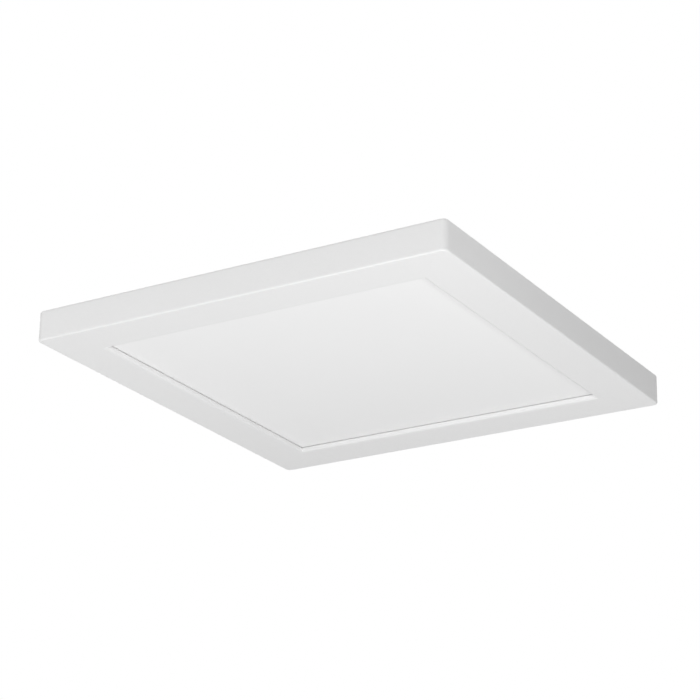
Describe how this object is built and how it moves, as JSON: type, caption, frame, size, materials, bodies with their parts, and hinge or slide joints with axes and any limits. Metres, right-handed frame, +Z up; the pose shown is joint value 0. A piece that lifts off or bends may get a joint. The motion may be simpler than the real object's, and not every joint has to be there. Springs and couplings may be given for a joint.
{
  "type": "surface mount led ceiling light",
  "caption": "Slim square surface-mount LED ceiling light: a white round-lipped frame round an opal diffuser, edge-lit, hung by a twist-lock strap on a ceiling box.",
  "frame": {"origin": "centre of the ceiling plane, which the top of the mounting strap lies against, on the axis of its wire hole", "axes": "+Z up into the ceiling, +X along the mounting strap, -Y the side that the wire entries face"},
  "size_m": [0.305, 0.305, 0.0218],
  "materials": {
    "white_coating": "die-cast aluminium, satin white powder coat",
    "opal_acrylic": "frosted opal sheet",
    "clear_acrylic": "polished clear sheet with printed dots",
    "reflector_film": "matt white film",
    "grey_foam": "open-cell foam sheet",
    "gasket_foam": "closed-cell foam tape",
    "coated_sheet": "pressed sheet steel, white coat",
    "galvanised_sheet": "galvanised sheet steel",
    "plated_steel": "bright zinc plate",
    "green_steel": "green lacquered steel",
    "strip_laminate": "white solder mask on aluminium",
    "led_package": "phosphor gel in a white cup",
    "thermal_pad": "soft thermal tape",
    "clear_rubber": "silicone rubber",
    "white_nylon": "moulded nylon",
    "driver_plastic": "moulded flame-retardant plastic",
    "green_laminate": "green solder mask on laminate",
    "ferrite": "dull grey ferrite",
    "winding_tape": "yellow polyester tape",
    "capacitor_sleeve": "shrunk sleeve",
    "chip_epoxy": "moulded epoxy",
    "terminal_plastic": "moulded polycarbonate",
    "spring_brass": "rolled spring strip",
    "brown_plastic": "moulded plastic",
    "blue_plastic": "moulded plastic",
    "green_plastic": "moulded plastic",
    "lead_sleeve": "two-core insulated lead"
  },
  "bodies": {
    "mount": {"mounting_plate": "galvanised_sheet", "hanger_studs": "plated_steel", "earth_screw": "green_steel"},
    "luminaire": {"frame": "white_coating", "diffuser_gasket": "gasket_foam", "diffuser": "opal_acrylic", "light_guide": "clear_acrylic", "reflector_sheet": "reflector_film", "backing_foam": "grey_foam", "left_thermal_tape": "thermal_pad", "right_thermal_tape": "thermal_pad", "left_led_board": "strip_laminate", "right_led_board": "strip_laminate", "left_leds": "led_package", "right_leds": "led_package", "guide_bumpers": "clear_rubber", "back_plate": "coated_sheet", "back_plate_screws": "plated_steel", "left_hanger_rail": "galvanised_sheet", "right_hanger_rail": "galvanised_sheet", "hanger_rivets": "plated_steel", "lead_bushing": "white_nylon", "left_lead": "lead_sleeve", "right_lead": "lead_sleeve", "driver_case": "driver_plastic", "driver_lid": "driver_plastic", "driver_screws": "plated_steel", "driver_board": "green_laminate", "transformer_core": "ferrite", "transformer_winding": "winding_tape", "driver_capacitors": "capacitor_sleeve", "driver_choke": "ferrite", "driver_chips": "chip_epoxy", "terminal_block": "terminal_plastic", "terminal_clamps": "spring_brass"},
    "live_key": {"live_button": "brown_plastic"},
    "earth_key": {"earth_button": "green_plastic"},
    "neutral_key": {"neutral_button": "blue_plastic"}
  },
  "joints": [
    {"name": "luminaire_twist", "type": "hinge", "parent": "mount", "child": "luminaire", "pos_m": [0, 0, 0], "axis": [0, 0, -1], "range_deg": [0, 15]},
    {"name": "live_release", "type": "slide", "parent": "luminaire", "child": "live_key", "axis": [0, 0, -1], "range_m": [0, 0.001], "stiffness_N_per_m": 500},
    {"name": "earth_release", "type": "slide", "parent": "luminaire", "child": "earth_key", "axis": [0, 0, -1], "range_m": [0, 0.001], "stiffness_N_per_m": 500},
    {"name": "neutral_release", "type": "slide", "parent": "luminaire", "child": "neutral_key", "axis": [0, 0, -1], "range_m": [0, 0.001], "stiffness_N_per_m": 500}
  ]
}
